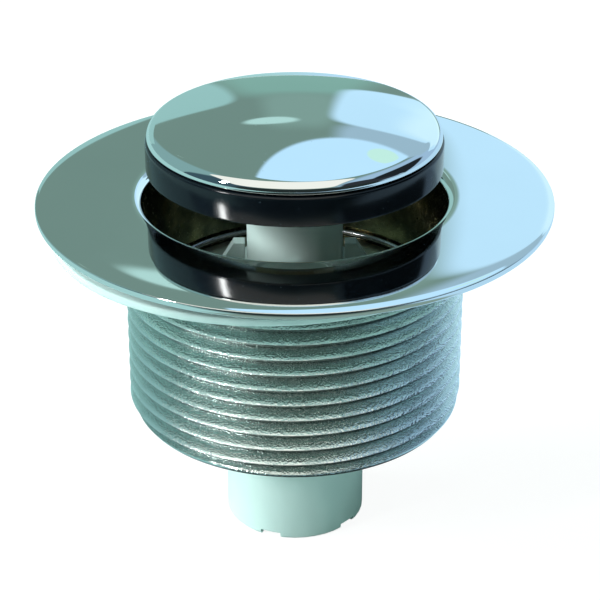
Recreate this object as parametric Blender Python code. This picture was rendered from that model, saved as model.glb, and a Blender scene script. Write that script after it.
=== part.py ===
"""Pop-up basin waste: a chromed flange with a threaded tail, and a push plug that latches on a heart cam.

The waste stands on the foot of its cartridge, with the plug up, which is open. Metres, +Z up.
Pressing the plug moves the cap, the plunger and what they carry down; the latch pin then sits in the
notch of the heart on the plunger's flat side until the next press.
"""

import math

import bmesh
import bpy
from mathutils import Matrix, Vector

# Overall heights. RIM_Z is the plane of the flange's edge, and the foot of the cartridge is at zero.
RIM_Z = 0.0508
TAIL_LENGTH = 0.03215
FIT_GAP = 0.0003

# Flange and threaded tail. The thread is G 1 1/2, and the flange, walls and ledges are measured from it.
THREAD_RADIUS = 0.0239
THREAD_PITCH = 0.002309
THREAD_DEPTH = 0.001479
THREAD_PHASE = 0.385
THREAD_CHAMFER = 0.0011
THREAD_RIM = 0.0005
THREAD_RUN_OUT = 0.0016
NECK_STEP = 0.0009
FLANGE_OVERHANG = 0.0121
FLANGE_EDGE = 0.0010
FLANGE_CROWN = 0.0003
FLANGE_ROUNDING = 0.0003
FLANGE_LAND_WIDTH = 0.0012
FLANGE_RECESS = 0.00025
NECK_FILLET = 0.0006
TAIL_WALL = 0.00375
MOUTH_TAPER = 0.00095
MOUTH_LIP = 0.0014
LEDGE_DEPTH = 0.0187
LEDGE_WIDTH = 0.00175
OUTLET_CHAMFER = 0.0008

# Loose gasket under the flange, which hangs low on its left
GASKET_SETBACK = 0.0031
GASKET_LOOSENESS = 0.0021
GASKET_THICKNESS = 0.0012
GASKET_SHIFT = 0.0015
GASKET_TILT = math.radians(2.25)

# Spider that carries the cartridge, with the wire ring that keeps it on the ledge
SPIDER_HEIGHT = 0.0030
SPIDER_RING_WIDTH = 0.0017
SPIDER_HUB_WALL = 0.0013
SPIDER_ARM_WIDTH = 0.0036
SPIDER_ARM_DIP = 0.0009
SPIDER_ARMS = 4
SNAP_WIRE_RADIUS = 0.00045
SNAP_WIRE_INSET = 0.00025
SNAP_RING_GAP = math.radians(24)

# Cartridge barrel, its grip wings and its castellated foot
BARREL_RADIUS = 0.01005
BARREL_WALL = 0.00145
BARREL_RIM_DEPTH = 0.0112
BARREL_LIP = 0.0010
COLLAR_WIDTH = 0.00185
COLLAR_SLOPE = 0.0016
RIM_SLOPE = 0.0006
WING_THICKNESS = 0.0020
WING_TOP_DEPTH = 0.0072
WING_TOP_WIDTH = 0.00155
WING_SHOULDER_DEPTH = 0.0100
WING_SHOULDER_WIDTH = 0.00025
WINGS = 4
FOOT_NOTCHES = 5
FOOT_NOTCH_DEPTH = 0.0009
FOOT_NOTCH_WIDTH = 0.0030
FOOT_LUG_TURN = math.radians(15)
WASHER_THICKNESS = 0.0012
LOCK_NUT_HEIGHT = 0.0045
LOCK_NUT_SLOTS = 6
LOCK_NUT_SLOT_WIDTH = 0.0022
LOCK_NUT_SLOT_DEPTH = 0.0008

# Plunger and its guides. The skirt fits the barrel, and the post is a step smaller.
SKIRT_CLEARANCE = 0.0004
SKIRT_STEP = 0.00145
SKIRT_LENGTH = 0.0147
WIPER_HEIGHT = 0.0012
BUSH_HEIGHT = 0.0045
PLUNGER_RISE = 0.0001
SPRING_WELL_WALL = 0.0008
SPRING_WELL_ROOF = 0.0030
INSERT_RADIUS = 0.0034
INSERT_HEIGHT = 0.0070

# Travel of the plug: down to its stop, and the latched place just above it
FULL_STROKE = 0.0097
LATCHED_STROKE = 0.0085

# Heart cam on the skirt's flat, and the pin that follows it
FLAT_CUT = 0.0020
TRACK_DEPTH = 0.0014
LANE_OFFSET = 0.0020
PIN_RADIUS = 0.0005
TRACK_CLEARANCE = 0.00035
HEART_CUP_GAP = 0.0003
PIN_LENGTH = 0.0180
PIN_PIVOT_Z = 0.0029
PIVOT_DEPTH = 0.0022
PIVOT_HOLE_GAP = 0.0003
LEAF_THICKNESS = 0.00025
LEAF_WIDTH = 0.0044

# Plug that closes the barrel's lower end
PLUG_BOTTOM_Z = 0.0012
PLUG_HEIGHT = 0.0042
PLUG_BEAD = 0.0004
PLUG_BEAD_HEIGHT = 0.0010
DRAIN_RADIUS = 0.0018

# Spring
SPRING_WIRE_RADIUS = 0.0004
SPRING_TURNS = 9
SPRING_END_CLOSING = 0.35

# Head: cap, seal, carrier and stud. Heights are above the flange's edge.
SEAL_CLEARANCE = 0.0005
SEAL_BOTTOM = 0.00445
SEAL_TOP = 0.0087
SEAL_WALL = 0.0030
SEAL_LIP_WIDTH = 0.0026
SEAL_LIP_THICKNESS = 0.0010
SEAL_ROUNDING = 0.0004
CAP_SETBACK = 0.00024
CAP_EDGE_BOTTOM = 0.0090
CAP_ROLL = 0.00175
CAP_DOME_RADIUS = 0.0780
CAP_WALL = 0.0011
CAP_BOSS_RADIUS = 0.0042
CARRIER_HUB_BOTTOM = 0.0036
CARRIER_HUB_RADIUS = 0.0060
CARRIER_RIBS = 8
CARRIER_RIB_WIDTH = 0.0012
STUD_RADIUS = 0.0020
STUD_NUT_RADIUS = 0.0050

# Broken edges, the overlap of joined shapes, how far a cutter stands clear, and facets of turned pieces
EDGE_BREAK = 0.0004
OVERLAP = 0.0005
CUT_MARGIN = 0.001
JOIN_DISTANCE = 0.000005
LARGE_STEPS = 44
MID_STEPS = 32
SMALL_STEPS = 20

# Sizes that follow from the ones above
FLANGE_RADIUS = THREAD_RADIUS + FLANGE_OVERHANG
NECK_RADIUS = THREAD_RADIUS - NECK_STEP
THREAD_END_RADIUS = THREAD_RADIUS - THREAD_CHAMFER
SEAT_BORE_RADIUS = THREAD_RADIUS - TAIL_WALL
LOWER_BORE_RADIUS = SEAT_BORE_RADIUS - LEDGE_WIDTH
MOUTH_RADIUS = SEAT_BORE_RADIUS + MOUTH_TAPER
RECESS_Z = RIM_Z - FLANGE_EDGE + FLANGE_RECESS
TAIL_END = RIM_Z - TAIL_LENGTH
THREAD_TOP = RECESS_Z - THREAD_RUN_OUT
GASKET_RADIUS = FLANGE_RADIUS - GASKET_SETBACK
GASKET_BORE_RADIUS = THREAD_RADIUS + GASKET_LOOSENESS
SEAL_RADIUS = MOUTH_RADIUS - SEAL_CLEARANCE
CAP_RADIUS = SEAL_RADIUS - CAP_SETBACK
BARREL_BORE = BARREL_RADIUS - BARREL_WALL
SKIRT_RADIUS = BARREL_BORE - SKIRT_CLEARANCE
PLUNGER_RADIUS = SKIRT_RADIUS - SKIRT_STEP
PLUNGER_BORE = PLUNGER_RADIUS + FIT_GAP
COLLAR_RADIUS = BARREL_RADIUS + COLLAR_WIDTH
LEDGE_Z = RIM_Z - LEDGE_DEPTH
SPIDER_BOTTOM = LEDGE_Z + FIT_GAP
SPIDER_TOP = SPIDER_BOTTOM + SPIDER_HEIGHT
SNAP_Z = SPIDER_TOP + FIT_GAP + SNAP_WIRE_RADIUS
SPIDER_RADIUS = SEAT_BORE_RADIUS - FIT_GAP
SPIDER_BORE = BARREL_RADIUS + FIT_GAP
SPIDER_HUB_RADIUS = SPIDER_BORE + SPIDER_HUB_WALL
WASHER_BOTTOM = SPIDER_TOP + FIT_GAP
COLLAR_BOTTOM = WASHER_BOTTOM + WASHER_THICKNESS + FIT_GAP
BARREL_TOP = RIM_Z - BARREL_RIM_DEPTH
WIPER_TOP = BARREL_TOP - BARREL_LIP - FIT_GAP
BUSH_TOP = WIPER_TOP - WIPER_HEIGHT - FIT_GAP
SKIRT_TOP = BUSH_TOP - BUSH_HEIGHT - FIT_GAP
SKIRT_BOTTOM = SKIRT_TOP - SKIRT_LENGTH
PLUNGER_TOP = RIM_Z + PLUNGER_RISE
INSERT_BOTTOM = PLUNGER_TOP - INSERT_HEIGHT
FLAT_OFFSET = SKIRT_RADIUS - FLAT_CUT
WELL_TOP = SKIRT_TOP + SPRING_WELL_ROOF
WELL_RADIUS = FLAT_OFFSET - TRACK_DEPTH - SPRING_WELL_WALL
PLUG_TOP = PLUG_BOTTOM_Z + PLUG_HEIGHT
PLUG_RADIUS = BARREL_BORE - FIT_GAP
BEAD_Z = PLUG_BOTTOM_Z + PLUG_HEIGHT / 2
PIN_TIP_Z = PIN_PIVOT_Z + PIN_LENGTH
PIN_TIP_OFFSET = FLAT_OFFSET - TRACK_DEPTH + FIT_GAP
PIN_LEG_OFFSET = FLAT_OFFSET + FIT_GAP + PIN_RADIUS
CAP_BOTTOM = RIM_Z + CAP_EDGE_BOTTOM
DOME_ANGLE = math.degrees(math.asin((CAP_RADIUS - CAP_ROLL) / (CAP_DOME_RADIUS - CAP_ROLL)))
DOME_CENTRE = CAP_BOTTOM - (CAP_DOME_RADIUS - CAP_ROLL) * math.cos(math.radians(DOME_ANGLE))
CAP_HOLE_TOP = DOME_CENTRE + CAP_DOME_RADIUS - 1.2 * CAP_WALL
SEAL_INNER = SEAL_RADIUS - SEAL_WALL
CARRIER_RADIUS = SEAL_INNER - FIT_GAP
LIP_INNER = SEAL_INNER - SEAL_LIP_WIDTH
LIP_TOP = RIM_Z + SEAL_BOTTOM + SEAL_LIP_THICKNESS
CARRIER_TOP = RIM_Z + SEAL_TOP - FIT_GAP
STUD_HOLE = STUD_RADIUS + FIT_GAP


def clear_scene():
    for item in list(bpy.data.objects):
        bpy.data.objects.remove(item, do_unlink=True)


def finish(name, colour, roughness, metallic):
    """One Principled material with the part's colour."""
    made = bpy.data.materials.new(name)
    made.use_nodes = True
    shader = made.node_tree.nodes["Principled BSDF"]
    shader.inputs["Base Color"].default_value = (*colour, 1.0)
    shader.inputs["Roughness"].default_value = roughness
    shader.inputs["Metallic"].default_value = metallic
    made.diffuse_color = (*colour, 1.0)
    return made


def place(name, bm, material=None, smooth_angle=30):
    """Turn a bmesh into a named object, its faces outwards and its round sides smooth."""
    bmesh.ops.recalc_face_normals(bm, faces=bm.faces)
    mesh = bpy.data.meshes.new(name)
    bm.to_mesh(mesh)
    bm.free()
    mesh.shade_smooth()
    mesh.set_sharp_from_angle(angle=math.radians(smooth_angle))
    made = bpy.data.objects.new(name, mesh)
    bpy.context.scene.collection.objects.link(made)
    if material:
        mesh.materials.append(material)
    return made


def arc(centre, radius, start, end, steps):
    """Points (r, z) on an arc, angles in degrees from +r towards +z."""
    points = []
    for i in range(steps + 1):
        angle = math.radians(start + (end - start) * i / steps)
        points.append((centre[0] + radius * math.cos(angle), centre[1] + radius * math.sin(angle)))
    return points


def turned(profile, steps, closed=True):
    """Spin a profile of (r, z) points about Z. An open one ends on the axis or on another surface."""
    bm = bmesh.new()
    points = [bm.verts.new((r, 0.0, z)) for r, z in profile]
    edges = [bm.edges.new(pair) for pair in zip(points, points[1:])]
    if closed:
        edges.append(bm.edges.new((points[-1], points[0])))
    bmesh.ops.spin(
        bm, geom=points + edges, cent=(0, 0, 0), axis=(0, 0, 1), angle=2 * math.pi, steps=steps, use_merge=True
    )
    bmesh.ops.remove_doubles(bm, verts=bm.verts, dist=1e-7)
    return bm


def tube(inner, outer, bottom, top, steps, chamfer=0.0):
    """A ring of rectangular section, with its outer edges chamfered if asked."""
    profile = [(inner, top), (inner, bottom)]
    if chamfer:
        profile += [(outer - chamfer, bottom), (outer, bottom + chamfer)]
        profile += [(outer, top - chamfer), (outer - chamfer, top)]
    else:
        profile += [(outer, bottom), (outer, top)]
    return turned(profile, steps)


def merged(first, second):
    """Join two open surfaces along the points they share, and point the whole outwards."""
    copy = bpy.data.meshes.new("joined")
    second.to_mesh(copy)
    first.from_mesh(copy)
    bmesh.ops.remove_doubles(first, verts=first.verts, dist=JOIN_DISTANCE)
    bmesh.ops.recalc_face_normals(first, faces=first.faces)
    bpy.data.meshes.remove(copy)
    second.free()
    return first


def rod(radius, bottom, top, steps):
    """A plain solid cylinder on the Z axis."""
    return turned([(0, top), (radius, top), (radius, bottom), (0, bottom)], steps, closed=False)


def prism(outline, low, high, to_world):
    """Extrude a flat outline from low to high, then turn it into place with to_world."""
    bm = bmesh.new()
    face = bm.faces.new([bm.verts.new((a, b, low)) for a, b in outline])
    raised = bmesh.ops.extrude_face_region(bm, geom=[face])["geom"]
    moved = [item for item in raised if isinstance(item, bmesh.types.BMVert)]
    bmesh.ops.translate(bm, verts=moved, vec=(0, 0, high - low))
    bmesh.ops.transform(bm, matrix=to_world, verts=bm.verts)
    return bm


def upright(outline, front, back):
    """A prism whose outline is (x, z), from the plane y=front to y=back."""
    to_world = Matrix(((1, 0, 0, 0), (0, 0, 1, 0), (0, 1, 0, 0), (0, 0, 0, 1)))
    return prism(outline, front, back, to_world)


def around(bm, count, first_turn=0.0):
    """Repeat what is in a bmesh evenly about the Z axis."""
    original = bm.verts[:] + bm.edges[:] + bm.faces[:]
    bmesh.ops.rotate(bm, verts=bm.verts, matrix=Matrix.Rotation(first_turn, 3, "Z"))
    for i in range(1, count):
        copy = bmesh.ops.duplicate(bm, geom=original)["geom"]
        verts = [item for item in copy if isinstance(item, bmesh.types.BMVert)]
        bmesh.ops.rotate(bm, verts=verts, matrix=Matrix.Rotation(2 * math.pi * i / count, 3, "Z"))
    return bm


def combine(target, tool, operation):
    """Boolean a hidden tool shape into a piece."""
    tool.hide_render = True
    tool.display_type = "WIRE"
    modifier = target.modifiers.new(tool.name, "BOOLEAN")
    modifier.operation = operation
    modifier.solver = "EXACT"
    modifier.object = tool


def cut(target, name, bm):
    combine(target, place(name, bm), "DIFFERENCE")


def weld(target, name, bm):
    combine(target, place(name, bm), "UNION")


def box(low, high):
    bm = bmesh.new()
    bmesh.ops.create_cube(bm, size=1.0)
    size = Vector(high) - Vector(low)
    bmesh.ops.scale(bm, vec=size, verts=bm.verts)
    bmesh.ops.translate(bm, vec=(Vector(high) + Vector(low)) / 2, verts=bm.verts)
    return bm


def wire(name, points, radius, sides, material, cyclic=False):
    """A round wire along a list of points, with its ends closed."""
    curve = bpy.data.curves.new(name, "CURVE")
    curve.dimensions = "3D"
    curve.bevel_depth = radius
    curve.bevel_resolution = sides // 2 - 2
    curve.use_fill_caps = not cyclic
    spline = curve.splines.new("POLY")
    spline.points.add(len(points) - 1)
    for place_on, point in zip(spline.points, points):
        place_on.co = (*point, 1.0)
    spline.use_cyclic_u = cyclic
    spline.use_smooth = True
    curve.materials.append(material)
    made = bpy.data.objects.new(name, curve)
    bpy.context.scene.collection.objects.link(made)
    return made


def flange_top(points=6):
    """The flange's upper face from its edge inwards, a shallow crown that rises fastest near the edge."""
    outer = FLANGE_RADIUS - FLANGE_ROUNDING
    inner = MOUTH_RADIUS + MOUTH_LIP
    outline = []
    for i in range(points + 1):
        share = i / points
        radius = outer - (outer - inner) * share**1.6
        outline.append((radius, RIM_Z + FLANGE_CROWN * (1 - (1 - share) ** 3)))
    return outline


def thread_surface():
    """A right-hand thread from a grid: every second row is a crest, and rows climb one pitch a turn."""
    rows = 2 * (math.ceil((THREAD_TOP - TAIL_END) / THREAD_PITCH) + 2)
    bm = bmesh.new()
    columns = []
    for i in range(LARGE_STEPS):
        turn = i / LARGE_STEPS
        column = []
        for j in range(-2, rows):
            z = TAIL_END + THREAD_PITCH * (j / 2 - 1 + turn + THREAD_PHASE)
            z = min(max(z, TAIL_END), THREAD_TOP)
            radius = THREAD_RADIUS - (THREAD_DEPTH if j % 2 else 0)
            radius = min(radius, THREAD_END_RADIUS + z - TAIL_END)
            radius += (THREAD_END_RADIUS - radius) * max(0, 1 - (z - TAIL_END) / THREAD_RIM)
            radius += (NECK_RADIUS - radius) * max(0, 1 - (THREAD_TOP - z) / THREAD_RUN_OUT)
            angle = 2 * math.pi * turn
            column.append(bm.verts.new((radius * math.cos(angle), radius * math.sin(angle), z)))
        columns.append(column)
    # One turn on, the same row is a pitch higher, so the last column meets the first two rows up.
    columns.append(columns[0][2:] + columns[0][-2:])
    for left, right in zip(columns, columns[1:]):
        for j in range(len(left) - 1):
            corners = list(dict.fromkeys((left[j], right[j], right[j + 1], left[j + 1])))
            if len(corners) > 2:
                bm.faces.new(corners)
    return bm


def make_waste_body(chrome):
    """Flange, threaded tail and the ledge inside, cast in one."""
    edge_bottom = RIM_Z - FLANGE_EDGE
    land_outer = FLANGE_RADIUS - FLANGE_ROUNDING
    land_inner = land_outer - FLANGE_LAND_WIDTH
    lip = arc((MOUTH_RADIUS + MOUTH_LIP, RIM_Z + FLANGE_CROWN - MOUTH_LIP), MOUTH_LIP, 90, 180, 4)
    groove_radius = SEAT_BORE_RADIUS + SNAP_WIRE_RADIUS
    groove_top = SNAP_Z + SNAP_WIRE_RADIUS + FIT_GAP
    profile = [
        (NECK_RADIUS, THREAD_TOP),
        (NECK_RADIUS, RECESS_Z - NECK_FILLET),
        (NECK_RADIUS + NECK_FILLET, RECESS_Z),
        (land_inner, RECESS_Z),
        (land_inner + FLANGE_RECESS, edge_bottom),
        (land_outer, edge_bottom),
        (FLANGE_RADIUS, edge_bottom + FLANGE_ROUNDING),
        (FLANGE_RADIUS, RIM_Z - FLANGE_ROUNDING),
    ]
    profile += flange_top() + lip[1:]
    profile += [
        (SEAT_BORE_RADIUS, groove_top),
        (groove_radius, groove_top),
        (groove_radius, SPIDER_TOP),
        (SEAT_BORE_RADIUS, SPIDER_TOP),
        (SEAT_BORE_RADIUS, LEDGE_Z),
        (LOWER_BORE_RADIUS, LEDGE_Z),
        (LOWER_BORE_RADIUS, TAIL_END + OUTLET_CHAMFER),
        (LOWER_BORE_RADIUS + OUTLET_CHAMFER, TAIL_END),
        (THREAD_END_RADIUS, TAIL_END),
    ]
    body = turned(profile, LARGE_STEPS, closed=False)
    return place("waste_body", merged(body, thread_surface()), chrome)


def make_flange_gasket(rubber):
    """A flat ring that hangs on the tail, touching the flange's recess on its right side only."""
    ring = tube(GASKET_BORE_RADIUS, GASKET_RADIUS, -GASKET_THICKNESS, 0, LARGE_STEPS, GASKET_THICKNESS / 4)
    made = place("flange_gasket", ring, rubber)
    made.location = (-GASKET_SHIFT, 0, RECESS_Z - FIT_GAP - GASKET_RADIUS * math.sin(GASKET_TILT))
    made.rotation_euler = (0, -GASKET_TILT, 0)
    return made


def make_spider(cast):
    """A ring on the ledge, a hub for the cartridge and arms between them that dip in the middle."""
    half = SPIDER_ARM_WIDTH / 2
    start = SPIDER_HUB_RADIUS - OVERLAP
    reach = SPIDER_RADIUS - SPIDER_RING_WIDTH / 2
    ring = tube(SPIDER_RADIUS - SPIDER_RING_WIDTH, SPIDER_RADIUS, SPIDER_BOTTOM, SPIDER_TOP, LARGE_STEPS)
    made = place("spider", ring, cast)
    weld(made, "spider_hub", tube(SPIDER_BORE, SPIDER_HUB_RADIUS, SPIDER_BOTTOM, SPIDER_TOP, MID_STEPS))
    arm = [
        (start, SPIDER_BOTTOM),
        (reach, SPIDER_BOTTOM),
        (reach, SPIDER_TOP - SPIDER_ARM_DIP / 2),
        ((start + reach) / 2, SPIDER_TOP - SPIDER_ARM_DIP),
        (start, SPIDER_TOP - SPIDER_ARM_DIP / 2),
    ]
    weld(made, "spider_arms", around(upright(arm, -half, half), SPIDER_ARMS))
    return made


def make_spider_snap_ring(steel):
    """A sprung wire ring, open at the back, in the groove above the spider."""
    radius = SEAT_BORE_RADIUS - SNAP_WIRE_INSET
    start = math.pi / 2 + SNAP_RING_GAP / 2
    span = 2 * math.pi - SNAP_RING_GAP
    points = []
    for i in range(MID_STEPS + 1):
        angle = start + span * i / MID_STEPS
        points.append((radius * math.cos(angle), radius * math.sin(angle), SNAP_Z))
    return wire("spider_snap_ring", points, SNAP_WIRE_RADIUS, 6, steel)


def barrel_profile():
    """Section of the barrel: bush seat and bead groove inside, collar and sloping rim outside."""
    bead_bore = BARREL_BORE + PLUG_BEAD
    bead_half = PLUG_BEAD_HEIGHT / 2 + FIT_GAP
    rim_bottom = BARREL_TOP - RIM_SLOPE
    return [
        (PLUNGER_BORE, BARREL_TOP),
        (PLUNGER_BORE, BARREL_TOP - BARREL_LIP),
        (BARREL_BORE, BARREL_TOP - BARREL_LIP),
        (BARREL_BORE, BEAD_Z + bead_half + PLUG_BEAD),
        (bead_bore, BEAD_Z + bead_half),
        (bead_bore, BEAD_Z - bead_half),
        (BARREL_BORE, BEAD_Z - bead_half - PLUG_BEAD),
        (BARREL_BORE, 0.0),
        (BARREL_RADIUS - EDGE_BREAK, 0.0),
        (BARREL_RADIUS, EDGE_BREAK),
        (BARREL_RADIUS, COLLAR_BOTTOM),
        (COLLAR_RADIUS, COLLAR_BOTTOM),
        (COLLAR_RADIUS, rim_bottom - COLLAR_SLOPE),
        (BARREL_RADIUS, rim_bottom),
        (BARREL_RADIUS - RIM_SLOPE, BARREL_TOP),
    ]


def wing_outline():
    """One grip wing: a flat top beside the post, a steep slope, then the collar's own slope."""
    rim_bottom = BARREL_TOP - RIM_SLOPE
    mid_wall = BARREL_BORE + BARREL_WALL / 2
    return [
        (PLUNGER_BORE, BARREL_TOP - BARREL_LIP / 2),
        (PLUNGER_BORE, RIM_Z - WING_TOP_DEPTH),
        (PLUNGER_BORE + WING_TOP_WIDTH, RIM_Z - WING_TOP_DEPTH),
        (BARREL_RADIUS + WING_SHOULDER_WIDTH, RIM_Z - WING_SHOULDER_DEPTH),
        (COLLAR_RADIUS - EDGE_BREAK / 2, rim_bottom - COLLAR_SLOPE + OVERLAP),
        (COLLAR_RADIUS - EDGE_BREAK / 2, COLLAR_BOTTOM + OVERLAP),
        (mid_wall, COLLAR_BOTTOM + OVERLAP),
        (mid_wall, BARREL_TOP - BARREL_LIP / 2),
    ]


def make_cartridge_barrel(plastic):
    """The white tube: collar and grip wings above the spider, castellated foot below the tail."""
    made = place("cartridge_barrel", turned(barrel_profile(), MID_STEPS + 8), plastic)
    wing = upright(wing_outline(), -WING_THICKNESS / 2, WING_THICKNESS / 2)
    weld(made, "grip_wings", around(wing, WINGS))
    half = FOOT_NOTCH_WIDTH / 2
    low = (BARREL_BORE - CUT_MARGIN, -half, -CUT_MARGIN)
    notch = box(low, (BARREL_RADIUS + CUT_MARGIN, half, FOOT_NOTCH_DEPTH))
    lug_middle = -math.pi / 2 + FOOT_LUG_TURN
    cut(made, "foot_notches", around(notch, FOOT_NOTCHES, lug_middle + math.pi / FOOT_NOTCHES))
    return made


def make_cartridge_washer(rubber):
    ring = tube(SPIDER_BORE, COLLAR_RADIUS, WASHER_BOTTOM, WASHER_BOTTOM + WASHER_THICKNESS, MID_STEPS)
    return place("cartridge_washer", ring, rubber)


def make_cartridge_lock_nut(plastic):
    """A round nut under the spider, slotted for a spanner."""
    top = SPIDER_BOTTOM - FIT_GAP
    ring = tube(SPIDER_BORE, COLLAR_RADIUS, top - LOCK_NUT_HEIGHT, top, MID_STEPS, EDGE_BREAK)
    made = place("cartridge_lock_nut", ring, plastic)
    half = LOCK_NUT_SLOT_WIDTH / 2
    slot = box(
        (COLLAR_RADIUS - LOCK_NUT_SLOT_DEPTH, -half, top - LOCK_NUT_HEIGHT - CUT_MARGIN),
        (COLLAR_RADIUS + CUT_MARGIN, half, top + CUT_MARGIN),
    )
    cut(made, "lock_nut_slots", around(slot, LOCK_NUT_SLOTS, math.pi / LOCK_NUT_SLOTS))
    return made


def make_wiper_ring(rubber):
    """A soft ring that keeps grit out of the barrel."""
    ring = tube(PLUNGER_BORE, BARREL_BORE - FIT_GAP, WIPER_TOP - WIPER_HEIGHT, WIPER_TOP, SMALL_STEPS + 8)
    return place("wiper_ring", ring, rubber)


def make_guide_bush(brass):
    ring = tube(PLUNGER_BORE, BARREL_BORE - FIT_GAP, BUSH_TOP - BUSH_HEIGHT, BUSH_TOP, SMALL_STEPS + 8, EDGE_BREAK)
    return place("guide_bush", ring, brass)


def heart_outline():
    """The island in the track: two lobes with a cup between them that holds the pin, and a pointed foot."""
    width = LANE_OFFSET - PIN_RADIUS - TRACK_CLEARANCE
    latched_z = PIN_TIP_Z + LATCHED_STROKE
    cup = arc((0, latched_z), PIN_RADIUS + HEART_CUP_GAP, -10, -90, 4)
    lobe_z = cup[0][1]
    foot_z = PIN_TIP_Z + 3 * PIN_RADIUS
    side = [(width, foot_z + 2 * width), (width, lobe_z - PIN_RADIUS), (width * 0.9, lobe_z - PIN_RADIUS / 3)]
    right = side + [((width + cup[0][0]) / 2, lobe_z)] + cup
    left = [(-x, z) for x, z in reversed(right[:-1])]
    return [(0, foot_z)] + right + left


def make_plunger(plastic):
    """Post, skirt with the flat and the heart cam, and the well for the spring."""
    insert_bore = INSERT_RADIUS + FIT_GAP
    profile = [
        (0, INSERT_BOTTOM - FIT_GAP),
        (insert_bore, INSERT_BOTTOM - FIT_GAP),
        (insert_bore, PLUNGER_TOP),
        (PLUNGER_RADIUS - EDGE_BREAK, PLUNGER_TOP),
        (PLUNGER_RADIUS, PLUNGER_TOP - EDGE_BREAK),
        (PLUNGER_RADIUS, SKIRT_TOP),
        (SKIRT_RADIUS, SKIRT_TOP),
        (SKIRT_RADIUS, SKIRT_BOTTOM + EDGE_BREAK),
        (SKIRT_RADIUS - EDGE_BREAK, SKIRT_BOTTOM),
        (WELL_RADIUS, SKIRT_BOTTOM),
        (WELL_RADIUS, WELL_TOP),
        (0, WELL_TOP),
    ]
    made = place("plunger", turned(profile, MID_STEPS, closed=False), plastic)
    far = SKIRT_RADIUS + CUT_MARGIN
    flat = box((-far, FLAT_OFFSET, SKIRT_BOTTOM - CUT_MARGIN), (far, far, SKIRT_TOP - EDGE_BREAK))
    cut(made, "plunger_flat", flat)
    reach = LANE_OFFSET + PIN_RADIUS + TRACK_CLEARANCE
    low = PIN_TIP_Z - PIN_RADIUS - TRACK_CLEARANCE - PIN_LENGTH * (1 - math.cos(swing_angle()))
    high = PIN_TIP_Z + FULL_STROKE + PIN_RADIUS + TRACK_CLEARANCE
    corner = PIN_RADIUS + TRACK_CLEARANCE
    outline = []
    for x, z, start in ((reach, high, 0), (-reach, high, 90), (-reach, low, 180), (reach, low, 270)):
        centre = (x - math.copysign(corner, x), z - (corner if z == high else -corner))
        outline += arc(centre, corner, start, start + 90, 4)
    track = place("heart_track", upright(outline, FLAT_OFFSET - TRACK_DEPTH, far))
    cut(track, "heart", upright(heart_outline(), FLAT_OFFSET - 2 * TRACK_DEPTH, far + CUT_MARGIN))
    combine(made, track, "DIFFERENCE")
    return made


def swing_angle():
    """How far the pin swings from one lane of the track to the other."""
    return math.asin(2 * LANE_OFFSET / PIN_LENGTH)


def make_plunger_insert(brass):
    """Threaded insert that the stud screws into."""
    ring = tube(STUD_HOLE, INSERT_RADIUS, INSERT_BOTTOM, PLUNGER_TOP, SMALL_STEPS)
    return place("plunger_insert", ring, brass)


def make_plunger_spring(steel):
    bottom = PLUG_TOP + FIT_GAP + SPRING_WIRE_RADIUS
    top = WELL_TOP - FIT_GAP - SPRING_WIRE_RADIUS
    radius = WELL_RADIUS - FIT_GAP - SPRING_WIRE_RADIUS
    per_turn = 8
    count = SPRING_TURNS * per_turn
    points = []
    for i in range(count + 1):
        angle = 2 * math.pi * i / per_turn
        share = i / count
        eased = share - SPRING_END_CLOSING * math.sin(2 * math.pi * share) / (2 * math.pi)
        points.append((radius * math.cos(angle), radius * math.sin(angle), bottom + (top - bottom) * eased))
    return wire("plunger_spring", points, SPRING_WIRE_RADIUS, 6, steel)


def make_latch_pin(steel):
    """A bent wire: its foot turns in the end plug, and its tip follows the track."""
    x = -LANE_OFFSET
    bend = 2 * PIN_RADIUS
    leg = PIN_LEG_OFFSET
    inner_end = PIN_TIP_OFFSET
    pivot_end = FLAT_OFFSET - PIVOT_DEPTH
    foot_bend = arc((leg - bend, PIN_PIVOT_Z + bend), bend, -90, 0, 4)
    head_bend = arc((leg - bend, PIN_TIP_Z - bend), bend, 0, 90, 4)
    path = [(x, pivot_end, PIN_PIVOT_Z)] + [(x, y, z) for y, z in foot_bend]
    path += [(x, y, z) for y, z in head_bend] + [(x, inner_end, PIN_TIP_Z)]
    return wire("latch_pin", path, PIN_RADIUS, 8, steel)


def make_pin_leaf_spring(steel):
    """A thin leaf that keeps the pin's tip in the track, held between the plug and the barrel."""
    front = PIN_LEG_OFFSET + PIN_RADIUS + FIT_GAP
    half = LEAF_WIDTH / 2
    strip = box((-half, front, PLUG_BOTTOM_Z), (half, front + LEAF_THICKNESS, PIN_TIP_Z + PIN_RADIUS))
    return place("pin_leaf_spring", strip, steel)


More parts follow.
